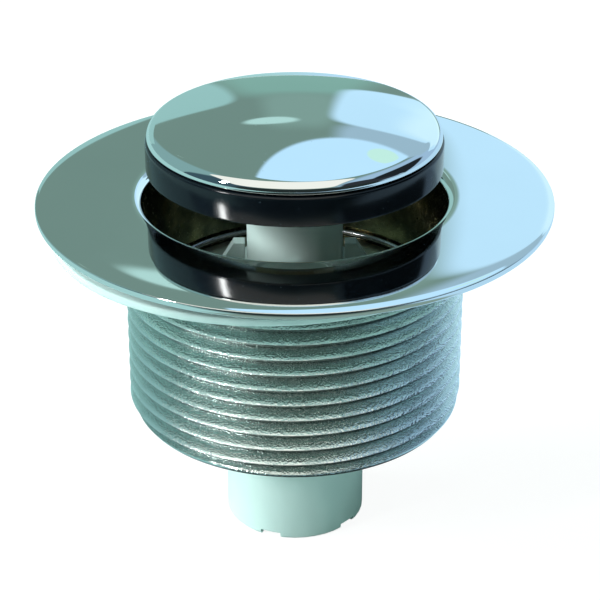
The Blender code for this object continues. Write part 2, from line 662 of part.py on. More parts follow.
def make_barrel_end_plug(plastic):
    """Snaps into the barrel's lower end, seats the spring and holds the pin's foot."""
    half = PLUG_BEAD_HEIGHT / 2
    profile = [
        (DRAIN_RADIUS, PLUG_TOP),
        (DRAIN_RADIUS, PLUG_BOTTOM_Z),
        (PLUG_RADIUS - EDGE_BREAK, PLUG_BOTTOM_Z),
        (PLUG_RADIUS, PLUG_BOTTOM_Z + EDGE_BREAK),
        (PLUG_RADIUS, BEAD_Z - half - PLUG_BEAD),
        (PLUG_RADIUS + PLUG_BEAD, BEAD_Z - half),
        (PLUG_RADIUS + PLUG_BEAD, BEAD_Z + half),
        (PLUG_RADIUS, BEAD_Z + half + PLUG_BEAD),
        (PLUG_RADIUS, PLUG_TOP),
    ]
    made = place("barrel_end_plug", turned(profile, MID_STEPS), plastic)
    far = BARREL_RADIUS + CUT_MARGIN
    flat = box((-far, FLAT_OFFSET, PLUG_BOTTOM_Z - CUT_MARGIN), (far, far, PLUG_TOP + CUT_MARGIN))
    cut(made, "plug_flat", flat)
    hole = rod(PIN_RADIUS + PIVOT_HOLE_GAP, FLAT_OFFSET - PIVOT_DEPTH - FIT_GAP, far, 12)
    bmesh.ops.rotate(hole, verts=hole.verts, matrix=Matrix.Rotation(-math.pi / 2, 3, "X"))
    bmesh.ops.translate(hole, verts=hole.verts, vec=(-LANE_OFFSET, 0, PIN_PIVOT_Z))
    cut(made, "pivot_hole", hole)
    return made


def make_cap_dome(chrome):
    """A domed chromed pressing with a rolled edge, and a boss below for the stud."""
    inner_sphere = CAP_DOME_RADIUS - CAP_WALL
    wall_foot = CAP_RADIUS - CAP_WALL
    inner_half = math.degrees(math.asin((CAP_RADIUS - 1.5 * CAP_ROLL) / inner_sphere))
    boss_half = math.degrees(math.asin(CAP_BOSS_RADIUS / inner_sphere))
    outer = arc((0, DOME_CENTRE), CAP_DOME_RADIUS, 90, 90 - DOME_ANGLE, 6)
    outer[0] = (0, outer[0][1])
    roll = arc((CAP_RADIUS - CAP_ROLL, CAP_BOTTOM), CAP_ROLL, 90 - DOME_ANGLE, 0, 4)
    inner = arc((0, DOME_CENTRE), inner_sphere, 90 - inner_half, 90 - boss_half, 3)
    profile = outer + roll[1:] + [(wall_foot, CAP_BOTTOM)] + inner
    profile += [
        (CAP_BOSS_RADIUS, CAP_BOTTOM),
        (STUD_HOLE, CAP_BOTTOM),
        (STUD_HOLE, CAP_HOLE_TOP),
        (0, CAP_HOLE_TOP),
    ]
    return place("cap_dome", turned(profile, LARGE_STEPS, closed=False), chrome)


def make_cap_seal(rubber):
    """A rubber ring with a lip that hooks under the carrier and a step below the cap."""
    bottom = RIM_Z + SEAL_BOTTOM
    top = RIM_Z + SEAL_TOP
    profile = [
        (SEAL_INNER, top),
        (SEAL_INNER, LIP_TOP),
        (LIP_INNER, LIP_TOP),
        (LIP_INNER, bottom + SEAL_ROUNDING),
        (SEAL_INNER, bottom),
        (SEAL_RADIUS - SEAL_ROUNDING, bottom),
        (SEAL_RADIUS, bottom + SEAL_ROUNDING),
        (SEAL_RADIUS, top - 1.5 * SEAL_ROUNDING),
        (SEAL_RADIUS - SEAL_ROUNDING / 2, top - SEAL_ROUNDING / 2),
        (SEAL_RADIUS - 1.5 * SEAL_ROUNDING, top),
    ]
    return place("cap_seal", turned(profile, LARGE_STEPS), rubber)


def make_seal_carrier(plastic):
    """The disc between cap and plunger, ribbed below, with a hub for the stud's nut."""
    foot = RIM_Z + CARRIER_HUB_BOTTOM
    inner = LIP_INNER - FIT_GAP
    profile = [
        (STUD_HOLE, CARRIER_TOP),
        (STUD_HOLE, foot),
        (CARRIER_HUB_RADIUS, foot),
        (CARRIER_HUB_RADIUS, LIP_TOP + FIT_GAP),
        (CARRIER_RADIUS - EDGE_BREAK, LIP_TOP + FIT_GAP),
        (CARRIER_RADIUS, LIP_TOP + FIT_GAP + EDGE_BREAK),
        (CARRIER_RADIUS, CARRIER_TOP),
    ]
    made = place("seal_carrier", turned(profile, MID_STEPS), plastic)
    start = CARRIER_HUB_RADIUS - OVERLAP
    half = CARRIER_RIB_WIDTH / 2
    rib = [
        (start, foot + EDGE_BREAK),
        (inner, RIM_Z + SEAL_BOTTOM + EDGE_BREAK),
        (inner, LIP_TOP + FIT_GAP + OVERLAP),
        (start, LIP_TOP + FIT_GAP + OVERLAP),
    ]
    weld(made, "carrier_ribs", around(upright(rib, -half, half), CARRIER_RIBS, math.pi / CARRIER_RIBS))
    return made


def make_cap_stud(steel):
    stud = rod(STUD_RADIUS, INSERT_BOTTOM + FIT_GAP, CAP_HOLE_TOP - FIT_GAP, SMALL_STEPS - 8)
    return place("cap_stud", stud, steel)


def make_stud_lock_nut(brass):
    """Hexagon nut that fixes how far the cap stands above the plunger."""
    bottom = PLUNGER_TOP + FIT_GAP
    top = RIM_Z + CARRIER_HUB_BOTTOM - FIT_GAP
    hexagon = arc((0, 0), STUD_NUT_RADIUS, 0, 300, 5)
    made = place("stud_lock_nut", prism(hexagon, bottom, top, Matrix.Identity(4)), brass)
    cut(made, "stud_nut_bore", rod(STUD_HOLE, bottom - CUT_MARGIN, top + CUT_MARGIN, SMALL_STEPS - 8))
    return made


def pivot(name, location):
    """An empty that a moving group hangs from, on its joint's axis."""
    made = bpy.data.objects.new(name, None)
    made.location = location
    bpy.context.scene.collection.objects.link(made)
    return made


def hang(parent, pieces):
    """Parent pieces that are already in place, so that they keep their place."""
    for piece in pieces:
        piece.parent = parent
        piece.matrix_parent_inverse = Matrix.Translation(-Vector(parent.location))


def main():
    clear_scene()
    chrome = finish("chrome", (0.78, 0.80, 0.79), 0.06, 1.0)
    satin_cast = finish("satin_cast", (0.62, 0.64, 0.62), 0.30, 1.0)
    white_plastic = finish("white_plastic", (0.86, 0.88, 0.87), 0.35, 0.0)
    black_rubber = finish("black_rubber", (0.012, 0.014, 0.02), 0.28, 0.0)
    white_rubber = finish("white_rubber", (0.80, 0.82, 0.80), 0.55, 0.0)
    brass = finish("brass", (0.72, 0.58, 0.32), 0.28, 1.0)
    steel = finish("spring_steel", (0.62, 0.63, 0.65), 0.22, 1.0)

    make_waste_body(chrome)
    make_flange_gasket(white_rubber)
    make_spider(satin_cast)
    make_spider_snap_ring(steel)
    make_cartridge_barrel(white_plastic)
    make_cartridge_washer(black_rubber)
    make_cartridge_lock_nut(white_plastic)
    make_wiper_ring(black_rubber)
    make_guide_bush(brass)
    make_barrel_end_plug(white_plastic)
    make_pin_leaf_spring(steel)
    make_plunger_spring(steel)

    head = [make_cap_dome(chrome), make_cap_seal(black_rubber), make_seal_carrier(white_plastic)]
    head += [make_cap_stud(steel), make_stud_lock_nut(brass), make_plunger_insert(brass)]
    head.append(make_plunger(white_plastic))
    hang(pivot("plug_travel", (0, 0, PLUNGER_TOP)), head)
    hang(pivot("latch_swing", (-LANE_OFFSET, PIN_LEG_OFFSET, PIN_PIVOT_Z)), [make_latch_pin(steel)])


main()
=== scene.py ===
# %% [markdown]
# # Pop-up basin waste
# A chromed flange sits on a basin's waste hole. A threaded tail goes down through the basin, and a domed plug
# stands in the flange's mouth on a white spring cartridge. This notebook dresses the engineered parts with
# the finishes and the fine shapes that a plain model leaves out: the thread's rounded crests, the polish, the
# soft edges of moulded plastic and rubber.
#
# The engineered model comes first. It is the frame that every piece here is placed in, so its sizes are
# printed before anything is made.

# %% Load the engineered model
import math

import bmesh
import bpy
from mathutils import Matrix, Vector


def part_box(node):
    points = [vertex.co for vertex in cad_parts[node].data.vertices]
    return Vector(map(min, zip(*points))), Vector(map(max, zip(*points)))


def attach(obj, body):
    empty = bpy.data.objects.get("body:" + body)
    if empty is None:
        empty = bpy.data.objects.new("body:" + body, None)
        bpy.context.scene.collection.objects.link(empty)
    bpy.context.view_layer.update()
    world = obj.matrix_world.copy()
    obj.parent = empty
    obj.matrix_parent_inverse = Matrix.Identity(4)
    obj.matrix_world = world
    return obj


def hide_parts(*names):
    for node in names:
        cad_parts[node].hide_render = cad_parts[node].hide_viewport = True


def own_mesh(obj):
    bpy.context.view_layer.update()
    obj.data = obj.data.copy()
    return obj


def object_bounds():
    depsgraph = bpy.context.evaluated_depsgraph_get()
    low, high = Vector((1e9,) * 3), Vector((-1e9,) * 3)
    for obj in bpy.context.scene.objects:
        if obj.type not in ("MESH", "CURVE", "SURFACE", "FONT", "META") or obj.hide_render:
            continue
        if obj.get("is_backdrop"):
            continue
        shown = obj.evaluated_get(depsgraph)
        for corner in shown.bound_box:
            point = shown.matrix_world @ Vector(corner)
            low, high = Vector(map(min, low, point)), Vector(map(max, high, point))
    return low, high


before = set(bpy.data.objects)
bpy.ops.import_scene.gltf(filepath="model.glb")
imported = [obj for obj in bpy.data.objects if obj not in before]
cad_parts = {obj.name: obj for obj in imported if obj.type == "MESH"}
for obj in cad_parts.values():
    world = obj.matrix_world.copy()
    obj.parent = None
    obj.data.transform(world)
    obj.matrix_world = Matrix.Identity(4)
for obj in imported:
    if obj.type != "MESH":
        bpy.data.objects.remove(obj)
engineered_box = [list(corner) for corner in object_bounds()]
MM = 0.001
print("size in mm:", [round((b - a) / MM, 2) for a, b in zip(*engineered_box)])

# %% [markdown]
# ## The camera
# The photograph was taken from a little above the rim, with a long lens, so the flange is a flat ellipse and the
# tail's sides stay nearly upright. A long lens far away gives that. A short lens close by would swell the
# front of the flange.

# %% Place the camera
RIM_Z = 50.8 * MM
CAMERA_TILT = math.radians(27.3)
CAMERA_DISTANCE = 300 * MM
looked_at = Vector((0.74 * MM, 0, RIM_Z - 16.66 * MM))

camera_data = bpy.data.cameras.new("camera")
camera_data.lens = 126.0
camera_data.sensor_width = 36.0
camera_data.clip_start = 0.01
camera = bpy.data.objects.new("camera", camera_data)
backwards = Vector((0, -math.cos(CAMERA_TILT), math.sin(CAMERA_TILT)))
camera.location = looked_at + CAMERA_DISTANCE * backwards
camera.rotation_euler = (math.pi / 2 - CAMERA_TILT, 0, 0)
bpy.context.scene.collection.objects.link(camera)
bpy.context.scene.camera = camera
print("camera at", [round(v / MM) for v in camera.location], "mm, lens", camera_data.lens, "mm")

# %% [markdown]
# ## Writing node sums as plain sums
# Materials, the studio's sky and the thread are all worked out with nodes. Wiring each Math node by hand hides
# the sum it stands for. A small class that wraps a socket lets the sum be written as it is read: `1 - mask`
# adds a Subtract node. Every other node comes from its one method `node`.

# %% A socket that can be used in a sum
class Field:
    """One socket of a node tree. A sum on it adds Math nodes to the same tree."""

    def __init__(self, tree, socket=None):
        self.tree = tree
        self.socket = socket

    def node(self, kind, settings=None, sockets=None, output=0):
        """Add a node: its settings first, then a value or a link for each socket named or numbered."""
        made = self.tree.nodes.new(kind)
        for name, value in (settings or {}).items():
            if name == "stops":
                fill_ramp(made.color_ramp, value)
            else:
                setattr(made, name, value)
        for name, value in (sockets or {}).items():
            if isinstance(value, Field):
                self.tree.links.new(value.socket, made.inputs[name])
            else:
                made.inputs[name].default_value = value
        return Field(self.tree, made.outputs[output] if made.outputs else None)

    def sum(self, operation, *values):
        return self.node("ShaderNodeMath", {"operation": operation}, dict(enumerate(values)))

    def __add__(self, other):
        return self.sum("ADD", self, other)

    def __sub__(self, other):
        return self.sum("SUBTRACT", self, other)

    def __rsub__(self, other):
        return self.sum("SUBTRACT", other, self)

    def __mul__(self, other):
        return self.sum("MULTIPLY", self, other)

    def __truediv__(self, other):
        return self.sum("DIVIDE", self, other)

    def __pow__(self, other):
        return self.sum("POWER", self, other)

    __radd__ = __add__
    __rmul__ = __mul__


def fill_ramp(ramp, stops):
    """Set a colour ramp's stops from a list of (place, colour)."""
    while len(ramp.elements) < len(stops):
        ramp.elements.new(0.5)
    for element, (place, colour) in zip(ramp.elements, stops):
        element.position = place
        element.color = (*colour, 1)


print("Field is ready: sums on a socket add Math nodes")

# %% [markdown]
# ## The studio
# Polished chrome has no colour of its own, so what stands round it decides how it looks. In the photograph the
# left of the room is grey-green and the right a pale blue, with a pale blue ceiling light, a cream wall behind
# the camera and darkness below that. Real cards round the object would do it, but a sky that only
# mirrors see is simpler to shape. The object is seen from the front, so its mirrors look back, up and over.
# Two angles suit that: the pitch runs from the back horizon over the zenith (90) to the front horizon (180), and
# the side runs from left (-90) to right (90).

# %% Angles in the mirrored sky
world = bpy.data.worlds.new("studio")
world.use_nodes = True
world.node_tree.nodes.clear()
bpy.context.scene.world = world
sky = Field(world.node_tree)
direction = sky.node("ShaderNodeSeparateXYZ", None, {0: sky.node("ShaderNodeTexCoord", output="Generated")})


def part_of(field, index):
    """Another output of the same node."""
    return Field(field.tree, field.socket.node.outputs[index])


def layered(lower, mask, colour):
    """Lay a colour over another where the mask is 1."""
    return lower.node("ShaderNodeMix", {"data_type": "RGBA"}, {0: mask, 6: lower, 7: colour}, output=2)


def smooth_step(field, low, high):
    return field.node("ShaderNodeMapRange", {"interpolation_type": "SMOOTHSTEP"}, {0: field, 1: low, 2: high})


def card(lower, across, along, place, colour):
    """Lay one soft card: its centre, its half sizes, how square it is (2 is an ellipse) and its softness."""
    centre_across, centre_along, half_across, half_along, squareness, softness = place
    a = lower.sum("ABSOLUTE", (across - centre_across) / half_across) ** squareness
    b = lower.sum("ABSOLUTE", (along - centre_along) / half_along) ** squareness
    distance = (a + b) ** (1 / squareness)
    return layered(lower, 1 - smooth_step(distance, 1 - softness, 1), (*colour, 1))


side = sky.sum("ARCSINE", direction) * (180 / math.pi)
pitch = sky.sum("ARCTAN2", part_of(direction, 2), part_of(direction, 1)) * (180 / math.pi)
pitch = sky.sum("WRAP", pitch, 270, -90)
print("a card is placed by its side angle and its pitch")

# %% Paint the sky that the chrome mirrors
# Each card: side and pitch of its centre, half its width and height, how square it is, how soft, then its colour.
GREY_GREEN_ROOM = (0.185, 0.30, 0.27, 1)
SKY_CARDS = [
    ((-64, 60, 38, 160, 6, 0.25), (0.24, 0.43, 0.44)),  # far left
    ((-64, 150, 38, 55, 6, 0.25), (0.05, 0.10, 0.13)),  # dim front left
    ((60, 50, 36, 160, 6, 0.30), (0.38, 0.58, 0.80)),  # far right
    ((0, 4, 7, 14, 4, 0.50), (0.24, 0.46, 0.41)),  # low in the middle of the back
    ((0.5, 23, 5.0, 12, 4, 0.50), (0.235, 0.39, 0.355)),  # above it
    ((-24, 5, 19, 14.8, 8, 0.06), (0.34, 0.61, 0.60)),  # teal wall, back left
    ((24, 37, 20.5, 9.5, 6, 0.15), (0.37, 0.56, 0.70)),  # lavender, above the window
    ((27, 18.5, 24, 12.2, 8, 0.07), (0.59, 0.91, 1.15)),  # blue window, back right
    ((28, 10, 21, 9, 4, 0.5), (0.80, 1.12, 1.20)),  # its brighter lower half
    ((27, 20, 17.2, 10.5, 6, 0.2), (0.72, 1.03, 1.18)),  # and its brighter right half
    ((-2.8, 28.9, 3.7, 2.0, 2, 0.35), (0.50, 0.80, 0.77)),  # small pale ellipse
    ((-16.8, 39.5, 2.0, 0.7, 2, 0.5), (0.34, 0.52, 0.48)),  # faint smudge left of it
    ((8, 60, 15, 25, 2, 0.05), (0.59, 0.925, 1.20)),  # large blue ellipse overhead
    ((11.4, 40.4, 2.3, 3.1, 2, 0.2), (0.635, 1.00, 0.90)),  # its cream-green spot
    ((-8, 119, 37, 33, 6, 0.05), (1.03, 1.04, 0.98)),  # cream wall behind the camera
    ((57, 142, 27, 24, 4, 0.15), (0.03, 0.035, 0.045)),  # dark, front right
    ((70, 85, 23, 52, 4, 0.15), (0.015, 0.02, 0.025)),  # dark, far right
    ((12, 180, 60, 28, 5, 0.15), (0.02, 0.03, 0.03)),  # dark horizon behind the camera
]
mirrored = sky.node("ShaderNodeRGB")
mirrored.socket.default_value = GREY_GREEN_ROOM
for place, colour in SKY_CARDS:
    mirrored = card(mirrored, side, pitch, place, colour)
print(len(SKY_CARDS), "cards in the mirrored sky")

# %% Choose what each kind of ray sees
PLAIN_SKY = (0.17, 0.28, 0.27, 1)
path = sky.node("ShaderNodeLightPath")
seen_by_mirror = part_of(path, "Is Glossy Ray") + part_of(path, "Is Transmission Ray")
plain = sky.node("ShaderNodeRGB")
plain.socket.default_value = PLAIN_SKY
seen = layered(layered(plain, seen_by_mirror, mirrored), part_of(path, "Is Camera Ray"), (1, 1, 1, 1))
sky.node("ShaderNodeOutputWorld", None, {0: sky.node("ShaderNodeBackground", None, {0: seen, 1: 1.0})})
print("plain sky", PLAIN_SKY[:3], "and white behind the object")

# %% [markdown]
# The floor is white to the eye, yet it still has to carry a soft shadow, or the object would float. Two
# shaders do it: rays from the eye and from mirrors see a weak matt floor with its own glow added, and
# light that bounces sees a plain pale one, so the glow adds no light to the object.

# %% Lay the floor
def new_material(name):
    """An empty node material, with a Field to build it from."""
    material = bpy.data.materials.new(name)
    material.use_nodes = True
    material.node_tree.nodes.clear()
    return material, Field(material.node_tree)


FLOOR_BOUNCE, FLOOR_SHADE, FLOOR_GLOW = (0.60, 0.76, 0.74, 1), (0.22, 0.22, 0.22, 1), 0.92
floor_material, paint = new_material("floor")
path = paint.node("ShaderNodeLightPath")
seen_directly = paint.sum("MAXIMUM", part_of(path, "Is Camera Ray"), part_of(path, "Is Glossy Ray"))
seen_directly = paint.sum("MAXIMUM", seen_directly, part_of(path, "Is Transmission Ray"))
matt = paint.node("ShaderNodeBsdfDiffuse", None, {0: FLOOR_BOUNCE})
faint = paint.node("ShaderNodeBsdfDiffuse", None, {0: FLOOR_SHADE})
glow = paint.node("ShaderNodeEmission", None, {0: (1, 1, 1, 1), 1: FLOOR_GLOW})
lit = paint.node("ShaderNodeAddShader", None, {0: faint, 1: glow})
floor_look = paint.node("ShaderNodeMixShader", None, {0: seen_directly, 1: matt, 2: lit})
paint.node("ShaderNodeOutputMaterial", None, {0: floor_look})

bpy.ops.mesh.primitive_circle_add(vertices=96, radius=1.6, fill_type="NGON", location=(0, 0, -0.0001))
floor = bpy.context.object
floor.name = "floor"
floor.data.materials.append(floor_material)
floor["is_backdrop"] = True
print("floor", round(floor.dimensions.x, 2), "m across")

# %% [markdown]
# The thread and the undersides mirror what lies in front of the object. In the photograph that is a grey-green
# table that turns dark a hand's breadth away, teal on the left and blue on the right, and the black lines
# between the threads are its dark part. A thin card on the floor that only mirrors see gives them that.

# %% Lay a card that only mirrors see
TABLE_LEFT, TABLE_RIGHT = (0.40, 0.70, 0.70, 1), (0.52, 0.80, 1.03, 1)
TABLE_PATCHES = [
    ((0.03, -0.11, 0.085, 0.09, 3, 0.20), (0.24, 0.35, 0.32)),  # grey-green, just in front
    ((0.05, -0.55, 0.27, 0.455, 5, 0.10), (0.02, 0.03, 0.03)),  # dark, further out
    # The last patch is a painted shadow: the object's own shade on the table, dark under the object.
    ((0.0, 0.0, 0.024, 0.024, 2, 0.10), (0.02, 0.02, 0.012)),  # dark, under the object
]
card_material, paint = new_material("mirror_card")
ground = paint.node("ShaderNodeSeparateXYZ", None, {0: paint.node("ShaderNodeTexCoord", output="Object")})
left_to_right = smooth_step(ground, -0.05, 0.06)
table_colours = {0: left_to_right, 6: TABLE_LEFT, 7: TABLE_RIGHT}
table = paint.node("ShaderNodeMix", {"data_type": "RGBA"}, table_colours, output=2)
for place, colour in TABLE_PATCHES:
    table = card(table, ground, part_of(ground, 1), place, colour)
paint.node("ShaderNodeOutputMaterial", None, {0: paint.node("ShaderNodeEmission", None, {0: table, 1: 1.0})})
bpy.ops.mesh.primitive_circle_add(vertices=96, radius=1.5, fill_type="NGON", location=(0, 0, -0.00005))
mirror_card = bpy.context.object
mirror_card.name = "mirror_card"
mirror_card.data.materials.append(card_material)
mirror_card.visible_camera = False
mirror_card.visible_diffuse = False
mirror_card.visible_transmission = False
mirror_card.visible_shadow = False
mirror_card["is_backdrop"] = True
print(len(TABLE_PATCHES), "patches on the card")

# %% [markdown]
# The lamps are large and soft. Two stand on the left, because the white plastic in the photograph is bright on
# its left side and falls off towards the right. The lower one also shines in under the cap, on the post.
# Mirrors don't see these lamps, since the painted sky already stands for the room. They do see the fourth, a
# narrow strip in front and to the left. It draws the upright highlight on the rubber and the glints on the thread.

# %% Hang the lamps
LAMPS_AIM = Vector((0, 0, 40 * MM))


def soft_lamp(name, bearing_deg, height_deg, distance, width, length, power, colour=(1, 1, 1)):
    """An area lamp that faces the object from a bearing, clockwise from the back, and a height."""
    a, e = math.radians(bearing_deg), math.radians(height_deg)
    away = Vector((math.sin(a) * math.cos(e), math.cos(a) * math.cos(e), math.sin(e)))
    data = bpy.data.lights.new(name, "AREA")
    data.shape = "RECTANGLE"
    data.size, data.size_y = width, length
    data.energy = power
    data.color = colour
    lamp = bpy.data.objects.new(name, data)
    lamp.location = LAMPS_AIM + distance * away
    lamp.rotation_euler = away.to_track_quat("Z", "Y").to_euler()
    bpy.context.scene.collection.objects.link(lamp)
    return lamp


hidden_from_mirrors = [
    soft_lamp("left_key", -92, 25, 1.0, 0.5, 0.22, 8.6, (0.84, 1.0, 0.99)),
    soft_lamp("left_high", -84, 46, 1.0, 0.3, 0.3, 4.5, (0.86, 1.0, 1.0)),
    soft_lamp("top_fill", 20, 75, 1.1, 0.8, 0.8, 1.2, (0.82, 1.0, 0.98)),
]
front_strip = soft_lamp("front_strip", -124, 27, 1.0, 0.07, 0.30, 3.2)
for lamp in hidden_from_mirrors:
    lamp.visible_glossy = False
for lamp in (*hidden_from_mirrors, front_strip):
    print(f"{lamp.name}: {lamp.data.energy:.1f} W")

# %% [markdown]
# ## Finishes
# Each finish is a Principled shader. Its pattern is drawn in the object's own coordinates, in metres, so it
# stays put when a piece moves. Most of the detail is in the roughness and in a very shallow bump, because that
# is what shows on a small smooth object: plating that isn't quite even, moulded plastic with a faint
# grain, rubber with a bloom and a few specks.

# %% Helpers that every finish shares
def place_in(paint, scale=(1, 1, 1), turn=(0, 0, 0)):
    """The piece's own coordinates, stretched or turned."""
    here = paint.node("ShaderNodeTexCoord", output="Object")
    return paint.node("ShaderNodeMapping", None, {"Vector": here, "Scale": scale, "Rotation": turn})


def noise(paint, size, detail=2.0, stretch=(1, 1, 1), rough=0.5):
    """Noise with features of a given size in metres, from 0 to 1."""
    sockets = {"Vector": place_in(paint, stretch), "Scale": 1 / size, "Detail": detail, "Roughness": rough}
    return paint.node("ShaderNodeTexNoise", None, sockets)


def blend(paint, mask, low, high):
    """A colour between two, by a mask."""
    sockets = {0: mask, 6: (*low, 1), 7: (*high, 1)}
    return paint.node("ShaderNodeMix", {"data_type": "RGBA"}, sockets, output=2)


def bump(paint, height_field, depth, strength=1.0):
    """A normal from a height of 0 to 1 that stands for a depth in metres."""
    sockets = {"Strength": strength, "Distance": depth, "Height": height_field}
    return paint.node("ShaderNodeBump", None, sockets)


def finish_with(paint, **sockets):
    """The Principled shader and the output, with sockets named in plain words."""
    named = {name.replace("_", " ").title(): value for name, value in sockets.items()}
    if "Ior" in named:
        named["IOR"] = named.pop("Ior")
    shader = paint.node("ShaderNodeBsdfPrincipled", None, named)
    paint.node("ShaderNodeOutputMaterial", None, {0: shader})


print("helpers: place_in, noise, blend, bump, finish_with")

# %% Polished chrome
chrome, paint = new_material("polished_chrome")
smears = noise(paint, 14 * MM, 3.0)
specks = smooth_step(noise(paint, 0.5 * MM, 1.0), 0.72, 0.80)
swell = noise(paint, 9 * MM, 1.0)
finish_with(
    paint,
    base_color=blend(paint, smears, (0.80, 0.83, 0.82), (0.86, 0.88, 0.87)),
    metallic=1.0,
    roughness=0.02 + 0.035 * smooth_step(smears, 0.45, 0.75) + 0.08 * specks,
    normal=bump(paint, swell, 0.03 * MM, 0.12),
)
print("polished chrome: smears, specks and a slow swell in the plating")

# %% [markdown]
# The tail's thread is rolled or cut and plated without polishing. Close up it glitters: thousands of tiny
# facets, each tilted a little. A Voronoi pattern used as a shallow height tilts them. The crests carry a painted
# highlight, the grooves painted shade and the undersides of the crests a painted shadow, so the colour has to
# follow the turns. It can, because a point's height and its angle
# round the axis say how far it is from the nearest crest.

# %% Glittering plated thread
TAIL_END = RIM_Z - 32.15 * MM
THREAD_PITCH, THREAD_PHASE = 2.309 * MM, 0.385
# Painted light and shade round one turn: from one crest (0, a painted highlight) up over the groove (0.5, painted
# shade at the root) to the underside of the next crest, painted black as its shadow (0.8 to 0.96).
PAINTED_CREST_AND_GROOVE_LIGHT = [
    (0.00, (0.92, 0.97, 0.95)), (0.08, (0.86, 0.94, 0.91)), (0.16, (0.70, 0.80, 0.76)), (0.40, (0.58, 0.68, 0.64)),
    (0.50, (0.14, 0.19, 0.18)), (0.58, (0.66, 0.76, 0.72)), (0.74, (0.66, 0.76, 0.72)), (0.80, (0.02, 0.03, 0.03)),
    (0.965, (0.02, 0.03, 0.03)), (1.00, (0.92, 0.97, 0.95))]
thread_plate, paint = new_material("plated_thread")
here = paint.node("ShaderNodeSeparateXYZ", None, {0: place_in(paint)})
turn = paint.sum("ARCTAN2", part_of(here, 1), here) / (2 * math.pi)
climb = (part_of(here, 2) - TAIL_END) / THREAD_PITCH - THREAD_PHASE - turn
groove = paint.node("ShaderNodeValToRGB", {"stops": PAINTED_CREST_AND_GROOVE_LIGHT}, {0: paint.sum("FRACT", climb)})
grain_place = {"Vector": place_in(paint), "Scale": 1 / (0.28 * MM)}
grains = paint.node("ShaderNodeTexVoronoi", {"feature": "F1"}, grain_place)
streaks = noise(paint, 0.25 * MM, 2.0, (1, 1, 6))
patches = noise(paint, 3.5 * MM, 3.0, (1, 1, 0.5))
# Random worn patches laid over the painted crest highlight and groove shade.
wear_over_painted_groove_light = layered(groove, smooth_step(patches, 0.45, 0.75) * 0.4, (0.42, 0.52, 0.50, 1))
finish_with(
    paint,
    base_color=wear_over_painted_groove_light,
    metallic=1.0,
    roughness=0.14 + 0.12 * patches + 0.10 * streaks,
    normal=bump(paint, grains * 0.9 + streaks * 0.1, 0.10 * MM, 0.6),
)
print("plated thread: bright crests, dark grooves, grains of 0.28 mm, fine streaks round the turns")

# %% Bare bore of the casting
bore_finish, paint = new_material("bare_bore")
cloud = noise(paint, 6 * MM, 3.0)
skin = noise(paint, 0.4 * MM, 2.0)
finish_with(
    paint,
    base_color=blend(paint, smooth_step(cloud, 0.40, 0.70), (0.12, 0.13, 0.09), (0.55, 0.50, 0.30)),
    metallic=1.0,
    roughness=0.18 + 0.14 * skin,
    normal=bump(paint, skin, 0.03 * MM, 0.4),
)
print("bare bore: dull brass, clouded")

# %% Satin casting of the spider
satin_casting, paint = new_material("satin_casting")
skin = noise(paint, 0.35 * MM, 3.0)
cloud = noise(paint, 4 * MM, 2.0)
finish_with(
    paint,
    base_color=blend(paint, cloud, (0.36, 0.36, 0.26), (0.52, 0.50, 0.40)),
    metallic=1.0,
    roughness=0.30 + 0.15 * skin,
    normal=bump(paint, skin, 0.05 * MM, 0.5),
)
print("satin casting: cast skin of 0.35 mm")

# %% White moulded plastic
moulded_white, paint = new_material("moulded_white")
cloud = noise(paint, 5 * MM, 2.0)
grain = noise(paint, 0.18 * MM, 2.0)
finish_with(
    paint,
    base_color=blend(paint, cloud, (0.66, 0.77, 0.74), (0.72, 0.82, 0.79)),
    roughness=0.38 + 0.12 * cloud + 0.05 * grain,
    ior=1.46,
    normal=bump(paint, grain, 0.008 * MM, 0.4),
)
print("white moulded plastic: cloudy, with a faint grain")

# %% White gasket rubber
gasket_rubber, paint = new_material("gasket_rubber")
cloud = noise(paint, 3 * MM, 3.0)
pores = noise(paint, 0.15 * MM, 2.0)
finish_with(
    paint,
    base_color=blend(paint, cloud, (0.58, 0.70, 0.68), (0.70, 0.80, 0.78)),
    roughness=0.55 + 0.15 * pores,
    normal=bump(paint, pores, 0.02 * MM, 0.4),
)
print("gasket rubber: soft white, slightly porous")

# %% Black seal rubber
seal_rubber, paint = new_material("seal_rubber")
bloom = noise(paint, 6 * MM, 3.0)
dust = smooth_step(noise(paint, 0.35 * MM, 1.0), 0.76, 0.82)
black = blend(paint, bloom, (0.002, 0.003, 0.005), (0.005, 0.008, 0.012))
ripple = noise(paint, 1.2 * MM, 2.0, (1, 1, 0.3))
finish_with(
    paint,
    base_color=layered(black, dust * 0.5, (0.08, 0.11, 0.13, 1)),
    roughness=0.10 + 0.07 * bloom + 0.3 * dust,
    ior=1.40,
    normal=bump(paint, ripple, 0.02 * MM, 0.2),
)
print("seal rubber: moulded black with a faint bloom and dust")

# %% Turned brass and spring steel
turned_brass, paint = new_material("turned_brass")
tool_marks = noise(paint, 0.15 * MM, 2.0, (0.05, 0.05, 1))
finish_with(
    paint,
    base_color=blend(paint, tool_marks, (0.66, 0.50, 0.26), (0.78, 0.63, 0.36)),
    metallic=1.0,
    roughness=0.22 + 0.15 * tool_marks,
    normal=bump(paint, tool_marks, 0.01 * MM, 0.4),
)

spring_steel, paint = new_material("spring_steel")
drawn = noise(paint, 0.12 * MM, 2.0)
finish_with(
    paint,
    base_color=blend(paint, drawn, (0.58, 0.59, 0.61), (0.70, 0.71, 0.73)),
    metallic=1.0,
    roughness=0.18 + 0.12 * drawn,
    normal=bump(paint, drawn, 0.01 * MM, 0.3),
)
print("turned brass and drawn spring steel")

# %% [markdown]
# ## Turned pieces
# The flange, the cap, the seal and the gasket are all bodies of revolution. The half section is drawn as a
# list of corners, each with the radius of its rounding, because no real edge is perfectly sharp and
# the thin bright line on a rounded edge is what makes it look real. The section is then turned round the axis.

# %% Round a section's corners and turn it
TURN_STEPS = 192


